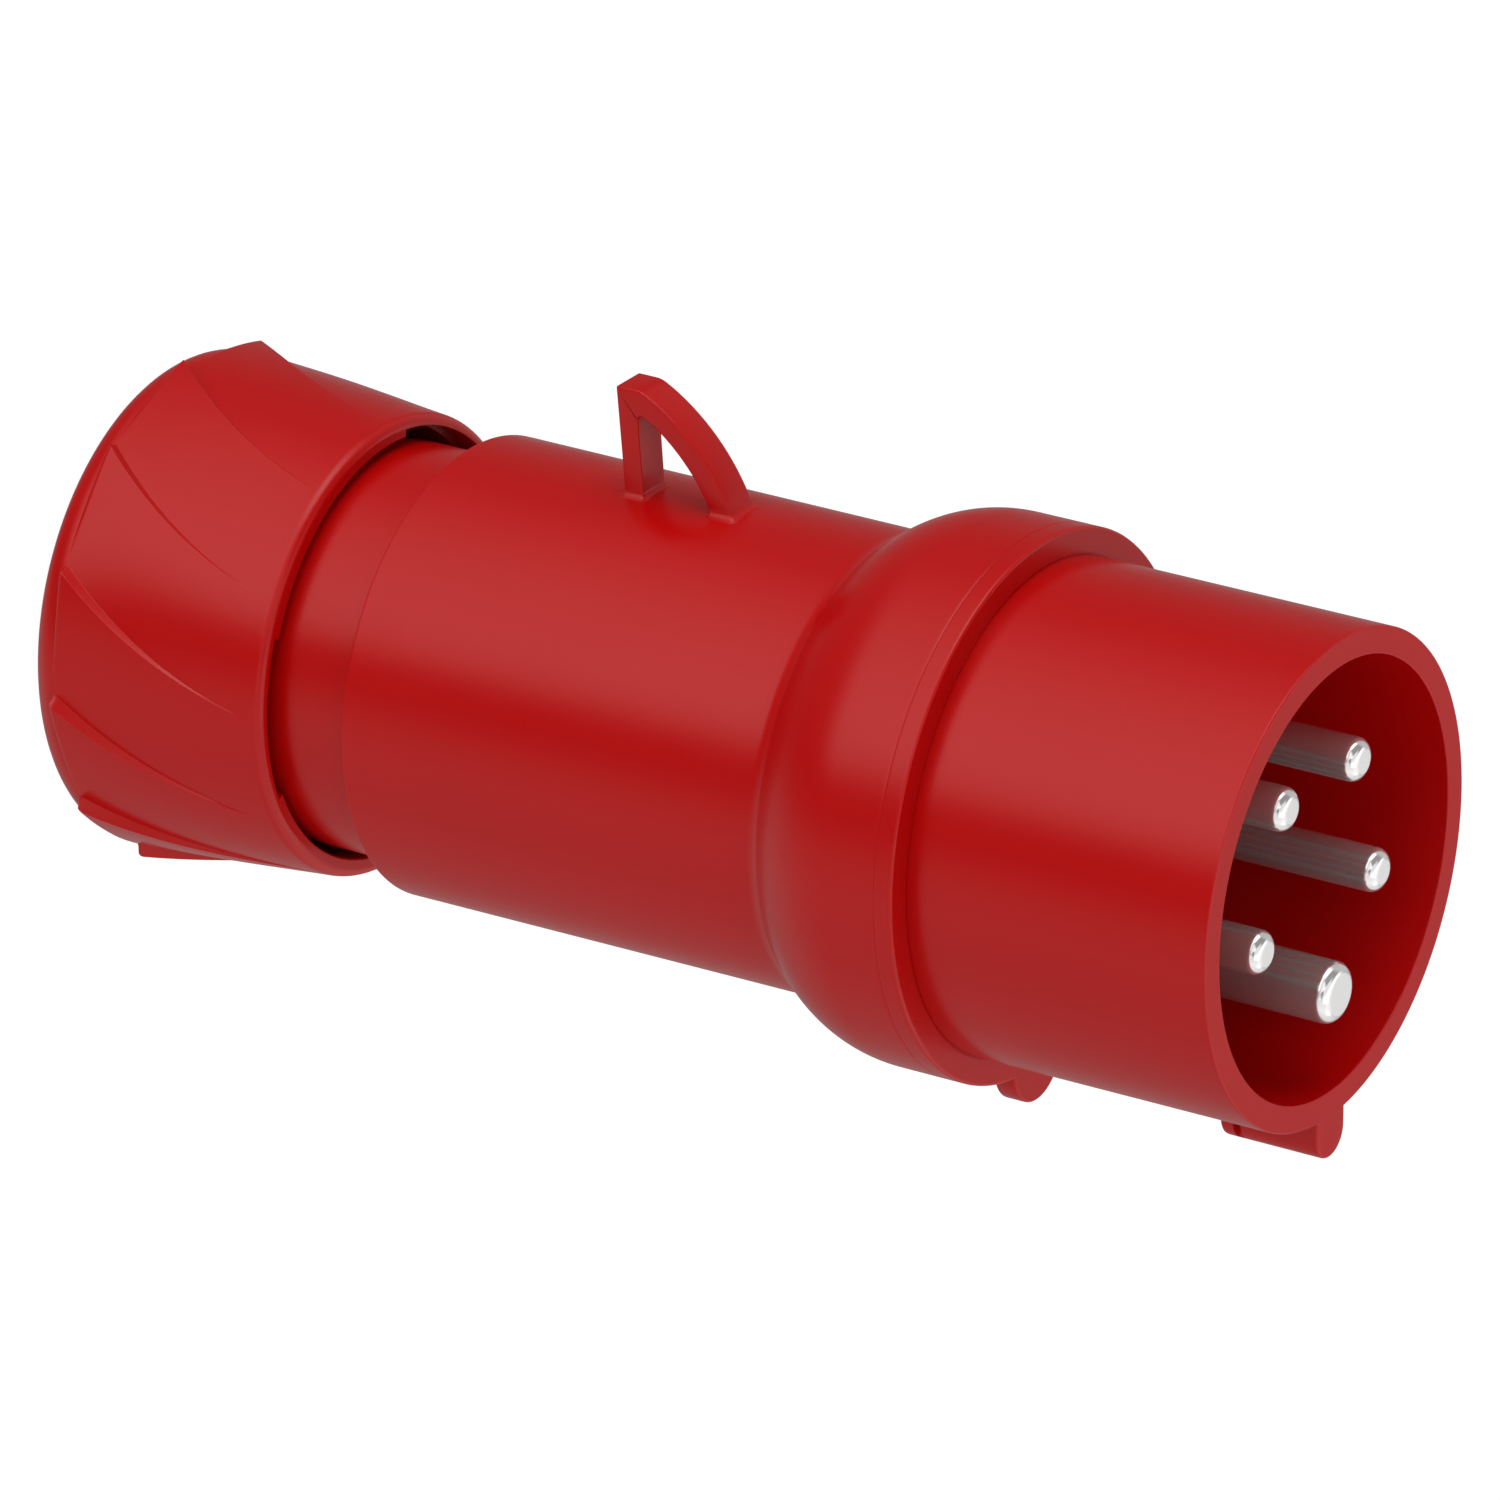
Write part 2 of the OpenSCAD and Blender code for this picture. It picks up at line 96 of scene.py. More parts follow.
# Skin over grids of points, rows by columns. Columns close round; rows close too where a grid is
# wrapped, and otherwise each end closes with a fan to the middle of its row. A grid's faces are
# turned to point outwards, by the sign of its volume: the sum of p . (q x r) over its triangles.
def skin(name, *parts):
    verts, faces, start = [], [], 0
    for grid, wrapped in parts:
        rows, cols = grid.shape[:2]
        index = np.arange(rows * cols).reshape(rows, cols)
        a = index if wrapped else index[:-1]
        b = np.roll(index, -1, axis=0) if wrapped else index[1:]
        quads = np.stack([a, np.roll(a, -1, 1), np.roll(b, -1, 1), b], -1).reshape(-1, 4)
        points = grid.reshape(-1, 3)
        fans = np.zeros((0, 3), int)
        if not wrapped:
            first, last, centre = index[0], index[-1], np.full(cols, rows * cols)
            fans = np.concatenate([np.stack([np.roll(first, -1), first, centre], 1),
                                   np.stack([last, np.roll(last, -1), centre + 1], 1)])
            points = np.concatenate([points, [grid[0].mean(0), grid[-1].mean(0)]])
        solid = np.concatenate([quads[:, [0, 1, 2]], quads[:, [0, 2, 3]], fans])
        p, q, r = (points[solid[:, k]] for k in range(3))
        if np.einsum("ij,ij->i", p, np.cross(q, r)).sum() < 0:
            quads, fans = quads[:, ::-1], fans[:, ::-1]
        verts.append(points)
        faces += (quads + start).tolist() + (fans + start).tolist()
        start += len(points)
    mesh = bpy.data.meshes.new(name)
    mesh.from_pydata((np.concatenate(verts) * mm).tolist(), [], faces)
    mesh.validate()
    mesh.shade_smooth()
    mesh.set_sharp_from_angle(angle=math.radians(sharpAngle))
    piece = bpy.data.objects.new(name, mesh)
    scene.collection.objects.link(piece)
    return piece


# Profile (radius, height) carried round an upright axis: (r cos a, r sin a, z) at each column angle.
def turned(profile, columns, centre=(0, 0)):
    a = np.linspace(0, 2 * math.pi, columns, endpoint=False)
    r, z = profile[:, :1], profile[:, 1:]
    return np.stack([centre[0] + r * np.cos(a), centre[1] + r * np.sin(a), z + 0 * a], -1)


# Column angles, with a close pair of columns at each edge where a surface steps.
def withEdges(columns, edges, gap=0.06):
    edges = np.asarray(edges, float) % 360
    distance = np.abs((columns[:, None] - edges + 180) % 360 - 180)
    keep = np.min(distance, axis=1) > 2.5 * gap
    return np.unique(np.concatenate([columns[keep], (edges - gap) % 360, (edges + gap) % 360]))


# 1 within half of a width of any centre, measured round the axis, and 0 elsewhere.
def inSectors(angles, centres, width):
    off = np.abs((angles[:, None] - np.asarray(centres, float) + 180) % 360 - 180)
    return (off.min(axis=1) < width / 2).astype(float)


# 3 x squared less 2 x cubed, which leaves 0 and reaches 1 without a corner.
def smoothStep(x):
    x = np.clip(x, 0, 1)
    return x * x * (3 - 2 * x)


# How far a rounded edge draws in at a distance d past the start of its fillet: R - sqrt(R^2 - d^2).
def drawIn(radius, past):
    return radius - np.sqrt(np.maximum(radius ** 2 - np.maximum(past, 0) ** 2, 0))


thread = {"pitch": 3.0, "halfWidth": 0.32, "flank": 0.2, "runOut": 2.0, "rowStep": 0.25}


# Right-hand thread: how far the flank stands at angle a and height z, 0 at the root and 1 on the
# crest, from the phase z / pitch - a / turn. It runs out over a short length at each end.
def threadWave(angle, z, shift, low, high):
    t = thread
    phase = (z / t["pitch"] - angle / 360 + shift) % 1
    wave = smoothStep((t["halfWidth"] - np.abs(phase - 0.5)) / t["flank"])
    return wave * smoothStep((z - low) / t["runOut"]) * smoothStep((high - z) / t["runOut"])


# Contact sleeve with its flange, key and lug
sleeve = {
    "outerRadius": 28.03, "rootRadius": 28.1, "mouthRadius": 24.9, "floorRadius": 24.6,
    "rimFillet": 0.2, "innerFillet": 0.15, "floorDepth": 38.2,
    "flangeDepth": 36.9, "flangeRadius": 31.25, "flangeFillet": 0.38, "rootGroove": 0.09,
    "rootFillet": 0.03, "seamDepth": 39.15, "seamFillet": 0.06,
    "spigotRadius": 27.4, "spigotEnd": 44.0, "spigotFillet": 0.3, "spigotBore": 25.6,
    "sealFrom": 40.8, "sealTo": 42.8, "sealRadius": 26.2, "seatDepth": 41.2, "seatRadius": 22.6,
    "keyRoot": 27.35, "keyHalfWidth": 3.0, "keyReach": 32.93, "keyLength": 12.2,
    "keyCorner": 1.6, "keyFillet": 0.35, "keyRows": (1.5, 4, 7, 9.3), "setBack": 0.004,
    "notchFrom": 9.6, "notchTo": 10.55, "notchDepth": 1.4, "notchFloor": 0.3, "notchEdge": 0.02,
    "lugRadius": 5.05, "lugCentre": 30.17, "lugBack": 39.6, "lugFillet": 0.3, "lugBackFillet": 0.15,
    "lugFlat": 4.35, "lugBackFlat": 4.45,
}


# Radius and height of the sleeve's section, once round: out over the rim and down the outside, over
# the flange and its seam, along the spigot with the seal's groove, and up the inside.
def sleeveProfile():
    s = sleeve
    grooveDepth, grooveRadius = s["flangeDepth"] + s["rootGroove"], s["rootRadius"] + s["rootGroove"]
    return filletedOutline([
        (s["mouthRadius"], up(0), s["innerFillet"]),
        (s["outerRadius"], up(0), s["rimFillet"]),
        (s["rootRadius"], up(grooveDepth)),
        (grooveRadius, up(grooveDepth)),
        (grooveRadius, up(s["flangeDepth"]), s["rootFillet"]),
        (s["flangeRadius"], up(s["flangeDepth"]), s["flangeFillet"]),
        (s["flangeRadius"], up(s["seamDepth"]), s["seamFillet"]),
        (s["spigotRadius"], up(s["seamDepth"])), (s["spigotRadius"], up(s["sealFrom"])),
        (s["sealRadius"], up(s["sealFrom"])), (s["sealRadius"], up(s["sealTo"])),
        (s["spigotRadius"], up(s["sealTo"])),
        (s["spigotRadius"], up(s["spigotEnd"]), s["spigotFillet"]),
        (s["spigotBore"], up(s["spigotEnd"])), (s["spigotBore"], up(s["seatDepth"])),
        (s["seatRadius"], up(s["seatDepth"])), (s["seatRadius"], up(s["floorDepth"])),
        (s["floorRadius"], up(s["floorDepth"]))])


# Key: a U section, two sides and a half-round bottom, carried back from the mouth. The section is
# drawn in by the end fillets, cut down by the rounded back corner and pinched at the cross groove.
def sleeveKey():
    s = sleeve
    w, corner, fillet, length = s["keyHalfWidth"], s["keyCorner"], s["keyFillet"], s["keyLength"]
    half = np.concatenate([np.linspace(0, 0.5, 8)[:-1], np.linspace(0.5, 1, 15)])
    u = np.concatenate([half, 2 - half[-2::-1]])
    notchRows = [s[k] + side * s["notchEdge"] for k in ("notchFrom", "notchTo") for side in (-1, 1)]
    depths = np.concatenate([
        fillet * (1 - np.cos(np.radians(np.linspace(0, 90, 6)))), s["keyRows"], notchRows,
        length - corner + corner * np.sin(np.radians(np.linspace(6, 84, 8))), [length]])
    depths = np.unique(depths)[:, None]
    inset = drawIn(fillet, fillet - depths) + drawIn(fillet, depths - (length - fillet))
    reach = s["keyReach"] - drawIn(corner, depths - (length - corner))
    turn = np.radians(np.clip(u - 0.5, 0, 1) * 180 - 90)
    straight = np.minimum(1, 2 * np.minimum(u, 2 - u))
    x = s["keyRoot"] + (s["keyReach"] - w - s["keyRoot"]) * straight + (w - inset) * np.cos(turn)
    y = (w - inset) * np.sin(turn)
    x = np.minimum(x, reach - inset * (reach < s["keyReach"]))
    inNotch = (depths > s["notchFrom"]) & (depths < s["notchTo"])
    inNotch = inNotch & (x > s["outerRadius"] + s["notchFloor"])
    narrow = w - s["notchDepth"]
    y = np.where(inNotch, np.clip(y, -narrow, narrow), y)
    return np.stack([x, y, up(depths) - s["setBack"] + 0 * x], -1)


# Lug: a short turned disc on an axis at the edge of the flange, rounded by arcs at both ends.
def flangeLug():
    s = sleeve
    r, f, g = s["lugRadius"], s["lugFillet"], s["lugBackFillet"]
    front, back = up(s["flangeDepth"]) - s["setBack"], up(s["lugBack"])
    profile = np.concatenate([
        [[s["lugFlat"], front]], arcPoints((r - f, front - f), f, 90, 0, 6),
        arcPoints((r - g, back + g), g, 0, -90, 3), [[s["lugBackFlat"], back]]])
    return turned(profile, 96, (s["lugCentre"], 0))


# Body with the collar, the neck and its thread
body = {
    "radius": 26.28, "taperFrom": 60.0, "backRadius": 26.42, "backDepth": 110.8, "backFillet": 0.14,
    "neckRadius": 23.4, "neckRootFillet": 0.3, "neckEnd": 123.5, "neckFillet": 0.3,
    "threadCore": 22.2, "threadEnd": 138.8, "threadHeight": 1.0, "endFillet": 0.6,
    "seamChamfer": 0.06, "bulgeStart": 45.45, "bulgeRadius": 16.4, "footFillet": 3.0,
    "socketRadius": 27.5, "socketBack": 45.4, "cavityRadius": 23.35, "cavityFront": 57.0,
    "cavityBack": 103.0, "stopRadius": 17.0, "stopFrom": 106.5, "stopTo": 108.5,
    "glandRadius": 19.6, "keywayRadius": 20.8, "keywayStart": 122.6, "keywayWidth": 12.6,
    "keyways": (60, 180, 300), "keywayEdge": 0.05, "seamLand": 0.45, "columnStep": 1.4,
}


# Collar outline: a wide arc, then a hollow fillet that runs on from it and ends along the body.
def bulgeOutline():
    b, collar = body, sleeve["flangeRadius"]
    big, foot = b["bulgeRadius"], b["footFillet"]
    turn = math.acos((b["radius"] + foot - collar + big) / (big + foot))
    along = np.array([math.cos(turn), -math.sin(turn)])
    middle = np.array([collar - big, up(b["bulgeStart"])])
    arc = arcPoints(middle, big, 0, -math.degrees(turn), 24)
    hollow = arcPoints(middle + (big + foot) * along, foot, 180 - math.degrees(turn), 180, 12)
    return np.concatenate([arc, hollow[1:]])


# Outside from the seam to the end of the neck, thread and inside, once round, as (radius, height).
# The turns of the thread are added to the radius of their rows, and the keyways to the gland's.
def bodySurface():
    b, collar, seam = body, sleeve["flangeRadius"], sleeve["seamDepth"]
    keyEdges = [k + side * b["keywayWidth"] / 2 for k in b["keyways"] for side in (-1, 1)]
    columns = withEdges(np.arange(0, 360, b["columnStep"]), keyEdges)
    low, high = up(b["threadEnd"]), up(b["neckEnd"])
    chamfer, end, gland = b["seamChamfer"], b["endFillet"], b["glandRadius"]
    front = np.array([
        [b["socketRadius"], up(seam)], [collar - chamfer, up(seam)],
        [collar - chamfer / 3, up(seam + chamfer / 4)], [collar, up(seam + chamfer)],
        [collar, up(seam + b["seamLand"])]])
    rear = filletedOutline([
        (b["radius"], up(b["taperFrom"])), (b["backRadius"], up(b["backDepth"]), b["backFillet"]),
        (b["neckRadius"], up(b["backDepth"]), b["neckRootFillet"]),
        (b["neckRadius"], high, b["neckFillet"]), (b["threadCore"], high)], closed=False)
    threadZ = np.arange(high - 0.15, low + 0.8, -thread["rowStep"])  # short of both ends
    threadRows = np.stack([0 * threadZ + b["threadCore"], threadZ], 1)
    tail = arcPoints((b["threadCore"] - end, low + end), end, 0, -80, 4)
    inner = np.array([
        [gland, low], [gland, up(b["keywayStart"])],
        [gland, up(b["keywayStart"]) + b["keywayEdge"]], [gland, up(b["stopTo"])],
        [b["stopRadius"], up(b["stopTo"])], [b["stopRadius"], up(b["stopFrom"])],
        [b["cavityRadius"], up(b["cavityBack"])], [b["cavityRadius"], up(b["cavityFront"])],
        [b["socketRadius"], up(b["socketBack"])]])
    outside = np.concatenate([front, bulgeOutline(), rear])
    outline = np.concatenate([outside, threadRows, tail, inner])
    r = np.repeat(outline[:, :1], len(columns), 1)
    firstTurn, firstInner = len(outside), len(outline) - len(inner)
    wave = threadWave(columns, threadZ[:, None], 0.0, low, high)
    r[firstTurn:firstTurn + len(threadZ)] += b["threadHeight"] * wave
    inKeyway = inSectors(columns, b["keyways"], b["keywayWidth"])
    r[firstInner:firstInner + 2] += (b["keywayRadius"] - gland) * inKeyway
    a = np.radians(columns)
    return np.stack([r * np.cos(a), r * np.sin(a), outline[:, 1:] + 0 * r], -1)


# Hanging loop
loop = {
    "halfThick": 2.3, "edge": 0.2, "reach": 38.99, "backDepth": 90.05, "backFootDepth": 88.95,
    "innerBack": 87.32, "innerFoot": 86.6, "innerTop": 36.05, "innerRise": 0.12, "innerCorner": 0.5,
    "arcDepth": 97.9, "arcRadial": 16.8, "outerArc": 24.75, "innerArc": 22.28,
    "topCorner": 0.25, "softCorner": 3.0, "softAngle": 4.2, "innerSoftAngle": 2.6,
    "footRadius": 26.38, "footFillet": 0.7, "sunk": 0.7,
}


# Loop: the outer and inner outlines, as (depth, distance from the axis), are matched point by point,
# and a rounded rectangle is drawn between them. Near the body the section widens by
# R - sqrt(R^2 - (R - h)^2) at height h.
def loopSurface():
    p = loop
    base, fillet = p["footRadius"], p["footFillet"]
    footTurn = np.radians(np.linspace(0, 90, 8))[1:]
    heights = np.concatenate([[-p["sunk"], -0.05], fillet * (1 - np.cos(footTurn))])
    legSteps = np.linspace(0, 1, 10)[1:, None]
    arcSteps = np.linspace(0, 1, 34)[1:]

    # The arc's centre plus radius times (-cos a, sin a), and the angle that reaches a height
    def arcAt(a, radius):
        return np.stack([p["arcDepth"] - radius * np.cos(a), p["arcRadial"] + radius * np.sin(a)], -1)

    def angleAt(height, radius):
        return np.arcsin((height - p["arcRadial"]) / radius)

    # Straight leg from its foot towards its top, with the last part left to the corner
    def leg(footDepth, topDepth, top, corner):
        slope = (topDepth - footDepth) / (top - base)
        foot = np.stack([footDepth + slope * heights, base + heights], 1)
        end = np.array([topDepth - slope * corner, top - corner])
        return np.concatenate([foot, foot[-1] + (end - foot[-1]) * legSteps])

    # From the crown along the arc down to the body and a little into it
    def bow(start, radius):
        arc = arcAt(start + (angleAt(base + fillet, radius) - start) * arcSteps, radius)
        return np.concatenate([arc, arcAt(angleAt(base + heights[::-1][1:], radius), radius)])

    legOut = leg(p["backFootDepth"], p["backDepth"], p["reach"], p["topCorner"])
    legIn = leg(p["innerFoot"], p["innerBack"], p["innerTop"], p["innerCorner"])
    outerTop, innerTop = angleAt(p["reach"], p["outerArc"]), angleAt(p["innerTop"], p["innerArc"])
    outerStart = outerTop - math.radians(p["softAngle"])
    innerStart = innerTop - math.radians(p["innerSoftAngle"])
    crown = filletedOutline([
        tuple(legOut[-1]), (p["backDepth"], p["reach"], p["topCorner"] * 0.9),
        (arcAt(outerTop, p["outerArc"])[0], p["reach"], p["softCorner"]),
        tuple(arcAt(outerStart, p["outerArc"]))], steps=8, guard=9, closed=False)[1:]
    innerCrown = filletedOutline([
        tuple(legIn[-1]),
        (p["innerBack"], p["innerTop"] + p["innerRise"], p["innerCorner"]),
        tuple(arcAt(innerStart, p["innerArc"]))], steps=len(crown) - 2, guard=9, closed=False)[1:]
    outer = np.concatenate([legOut, crown, bow(outerStart, p["outerArc"])])
    inner = np.concatenate([legIn, innerCrown, bow(innerStart, p["innerArc"])])

    height = np.minimum(outer[:, 1], inner[:, 1]) - base
    widen = drawIn(fillet, fillet - height)[:, None]
    across = (inner - outer) / np.linalg.norm(inner - outer, axis=1)[:, None]
    level = np.sign(across) * [1, 0]
    across = np.where((height < fillet + 1e-6)[:, None], level, across)
    outer, inner = outer - across * widen, inner + across * widen
    halfThick, edge = p["halfThick"] + widen, p["edge"] + widen * 0.8

    # Once round the section, a quarter turn at each corner, with flat faces between them
    turn = np.radians(np.linspace(0, 90, 6))
    sin, cos = np.sin(turn), np.cos(turn)
    quarters = []
    for origin, inward, side, outTurn, alongTurn in (
            (outer, 1, 1, sin, cos), (inner, -1, 1, cos, sin),
            (inner, -1, -1, sin, cos), (outer, 1, -1, cos, sin)):
        place = origin[:, None, :] + inward * across[:, None, :] * (edge * (1 - alongTurn))[..., None]
        y = side * (halfThick - edge * (1 - outTurn))
        quarters.append(np.concatenate([place, y[..., None]], -1))
    depth, radial, y = np.moveaxis(np.concatenate(quarters, 1), -1, 0)

    # The foot follows the round body: it drops by the sagitta of the body at y
    near = height[:, None] / (2 * fillet)
    drop = np.where(near < 1, base - np.sqrt(base ** 2 - y ** 2), 0) * np.clip(1.5 - near, 0, 1)
    return np.stack([drop - radial, y, up(depth)], -1)


# Union nut with its ribs, front lip, bore and chamber
cap = {
    "lipDepth": 121.35, "lipRadius": 26.6, "lipRound": 1.2, "backRadius": 28.97, "backRound": 3.8,
    "ribs": 12, "firstRib": 4.0, "ribHeight": 1.45, "ribBack": 3.7, "ribEnd": 0.95, "ribFade": 1.6,
    "ribSweep": 26.0, "sweepBend": 0.55, "wallAngle": 1.5, "thinWall": 0.12, "thinFrom": 4.0,
    "toothRound": 0.55, "softening": 0.07,
    "tabRadius": 24.45, "tabLength": 3.3, "tabChamfer": 0.15,
    "gapRadius": 25.35, "gapDeeper": 0.4, "gapAt": 30.7, "gapAngle": 45.0,
    "boreRadius": 25.0, "threadRadius": 23.45, "threadHeight": 0.95, "threadFrom": 134.6,
    "threadTo": 143.0, "chamberRadius": 23.45, "backWall": 148.3, "holeRadius": 10.5,
}


# Union nut, one closed grid. Outside, the radius is bare(z) + height(z) x tooth(angle): bare is a
# cone with a rounded back edge and a rounded lip, and a tooth is a steep wall followed by (1 - f)
# squared, with its corners softened by a short average. Each column runs at its own angle plus
# swirl(z), and the columns of a wall draw together as the wall gets thinner with its height.
def capSurface():
    c = cap
    lipZ, threadHigh, threadLow, wallZ = (
        float(up(c[k])) for k in ("lipDepth", "threadFrom", "threadTo", "backWall"))
    spacing, wall = 360 / c["ribs"], c["wallAngle"]

    # Columns, close together at the foot and the crest of each wall and at the edges of the gaps
    close = np.array([-0.2, -0.1, -0.05, 0, 0.05, 0.1, 0.2])
    local = np.concatenate([[-2.2], close - wall, [-1.1, -0.75, -0.4], close,
                            [0.5, 1.2, 2.2, 3.6, 5], np.arange(6.8, 25, 2.0), [26.2]])
    base = (c["firstRib"] + local + spacing * np.arange(c["ribs"])[:, None]).ravel() % 360
    gaps = c["gapAt"] + 120 * np.arange(3)
    edges = [g + side * c["gapAngle"] / 2 - c["ribSweep"] for g in gaps for side in (-1, 1)]
    base = withEdges(np.sort(base), edges, 0.04)
    inGap = inSectors(base + c["ribSweep"], gaps, c["gapAngle"])

    def tooth(angle):
        a = (angle - c["firstRib"] + wall) % spacing
        return np.where(a < wall, a / wall, (1 - (a - wall) / (spacing - wall)) ** 2)

    # How far along the ribs a height lies: 0 at their back, 1 at a share of the way to the lip
    def ribPart(z, share=1.0):
        return np.clip((z - c["ribBack"]) / (share * (lipZ - c["ribBack"])), 0, 1)

    # ribSweep times (t + bend x t (1 - t)), which turns fastest at the back
    def swirl(z):
        t = ribPart(z)
        return c["ribSweep"] * (t + c["sweepBend"] * t * (1 - t))

    def bare(z):
        cone = c["backRadius"] + (c["lipRadius"] - c["backRadius"]) * z / lipZ
        lipRound, backRound = c["lipRound"], c["backRound"]
        return cone - drawIn(backRound, backRound - z) - drawIn(lipRound, z - lipZ + lipRound)

    # Rows of the outside: the rounded back, the round step where the ribs begin, the run, the lip
    backZ = c["backRound"] * (1 - np.cos(np.radians(np.linspace(0, 86, 12))))
    backZ = np.append(backZ[backZ < c["ribBack"] - 0.05], c["ribBack"])
    stepTurn = np.radians(np.linspace(0, 90, 6))
    stepZ = c["ribBack"] + 0.03 + c["toothRound"] * (1 - np.cos(stepTurn))
    runZ = np.linspace(stepZ[-1] + 0.15, lipZ - c["lipRound"] - 0.2, 30)
    roundZ = lipZ - c["lipRound"] * (1 - np.sin(np.radians(np.linspace(0, 90, 8))))
    z = np.concatenate([backZ, stepZ, runZ, roundZ])
    fade = ((1 - ribPart(z, c["ribEnd"])) ** c["ribFade"])[:, None]
    shape = tooth(base[:, None] + np.linspace(-1, 1, 9) * c["softening"]).mean(1)
    rise = c["ribHeight"] * fade * shape
    rise[:len(backZ)] = 0
    stepRows = slice(len(backZ), len(backZ) + len(stepZ))
    rise[stepRows] -= (1 - np.sin(stepTurn))[:, None] * np.minimum(c["toothRound"], rise[stepRows])
    fromCrest = (base - c["firstRib"] + c["thinFrom"]) % spacing - c["thinFrom"]
    follow = np.interp(fromCrest, [-c["thinFrom"], -wall, 0], [0, 1, 0])
    drawn = (wall - c["thinWall"]) * (1 - fade) * follow

    # Rows of the inside, from the lip to the hole: tabs and gaps, bore, thread, chamber and back
    # wall. The small steps round the edges of the wall and the hole.
    even = np.ones(len(base))
    lipIn = c["tabRadius"] + (c["gapRadius"] - c["tabRadius"]) * inGap
    tabZ = lipZ - c["tabLength"] - c["gapDeeper"] * inGap
    threadZ = np.arange(threadHigh, threadLow + 0.01, -thread["rowStep"])[:, None]
    wave = threadWave(base + c["ribSweep"], threadZ, 0.5, threadLow, threadHigh)
    chamber, hole, bore = c["chamberRadius"], c["holeRadius"], c["boreRadius"] * even
    plain = np.array([
        [chamber, threadLow], [chamber, wallZ + 0.5], [chamber - 0.5, wallZ], [hole + 0.5, wallZ],
        [hole + 0.1, wallZ - 0.1], [hole, wallZ - 0.5], [hole, 0.8], [hole + 0.1, 0.4],
        [hole + 0.4, 0.1], [hole + 0.8, 0]])
    rIn = np.concatenate([[lipIn + c["tabChamfer"], lipIn, lipIn, bore, bore],
                          c["threadRadius"] - c["threadHeight"] * wave, plain[:, :1] * even])
    zIn = np.concatenate([[lipZ * even, (lipZ - c["tabChamfer"]) * even, tabZ, tabZ - 0.02,
                           threadHigh * even], threadZ * even, plain[:, 1:] * even])
    # The inside keeps the swirl of the lip up to its last, flat row, which meets the back unturned
    sweep = np.full((len(rIn), 1), c["ribSweep"])
    sweep[-1] = 0
    r = np.concatenate([bare(z)[:, None] + rise, rIn])
    a = np.radians(np.concatenate([base + swirl(z)[:, None] + drawn, base + sweep]))
    return np.stack([r * np.cos(a), r * np.sin(a), np.concatenate([z[:, None] * even, zIn])], -1)


# Contact pins on a circle about the axis, each at its own angle
contacts = {
    "circle": 13.3, "tipFillet": 1.4, "shoulder": 0.4, "shoulderFrom": 34.5, "barrelFrom": 46.0,
    "barrelTo": 59.4, "wireHole": 2.3, "wireFrom": 50.0,
    "phase": {"radius": 2.5, "barrel": 4.3, "tip": 1.1},
    "earth": {"radius": 3.5, "barrel": 4.8, "tip": -0.9},
    "angles": {"pin_earth": 0, "pin_l1": 72, "pin_l2": 144, "pin_l3": 216, "pin_n": 288},
}


# Contact pin: a turned profile, as (radius, depth), from the flat tip over its rounded edge, along
# the pin and over its shoulder to the drilled barrel. The small steps are its chamfers.
def pinSurface(radius, barrel, tip, angle):
    c = contacts
    fillet, shoulder, hole = c["tipFillet"], radius + c["shoulder"], c["wireHole"]
    start, end, drilled = c["barrelFrom"], c["barrelTo"], c["wireFrom"]
    profile = np.array([
        [0.35, tip], [radius - fillet - 0.15, tip],
        *arcPoints((radius - fillet, tip + fillet), fillet, -90, 0, 14),
        [radius, tip + fillet + 0.3], [radius, 20], [radius, c["shoulderFrom"]],
        [shoulder, c["shoulderFrom"] + 0.1], [shoulder, start],
        [barrel - 0.2, start], [barrel, start + 0.2], [barrel, end - 0.3], [barrel - 0.3, end],
        [hole + 0.2, end], [hole, end - 0.2], [hole, drilled], [0.3, drilled - 0.9]])
    profile[:, 1] = up(profile[:, 1])
    a = math.radians(angle)
    return turned(profile, 128, (c["circle"] * math.cos(a), c["circle"] * math.sin(a)))


# Colour from its hex code, turned from display values into linear ones
def hexColour(code):
    value = np.array([int(code[i:i + 2], 16) / 255 for i in (1, 3, 5)])
    linear = np.where(value <= 0.04045, value / 12.92, ((value + 0.055) / 1.055) ** 2.4)
    return (*linear, 1.0)


# One node, with its settings and the sockets that are linked to it
def addNode(tree, kind, settings=None, links=None):
    node = tree.nodes.new(kind)
    for key, value in (settings or {}).items():
        if isinstance(key, int) or key in node.inputs:
            node.inputs[key].default_value = value
        else:
            setattr(node, key, value)
    for key, source in (links or {}).items():
        tree.links.new(source, node.inputs[key])
    return node


# Empty material, its nodes and the Object coordinates that its patterns read
def newMaterial(name):
    material = bpy.data.materials.new(name)
    material.use_nodes = True
    tree = material.node_tree
    tree.nodes.clear()
    return material, tree, addNode(tree, "ShaderNodeTexCoord").outputs["Object"]


plastic = {
    "red": "#be0404", "paintedShadeRed": "#900303", "grey": "#84878b", "ior": 1.38, "roughness": 0.25,
    "sheenSize": 6.0, "sheenRange": 0.03, "cloudSize": 22.0, "cloudShare": 0.012,
    "cloudEnds": (0.3, 0.7), "grainSize": 0.28, "grainDepth": 0.004, "grainStrength": 0.5,
}


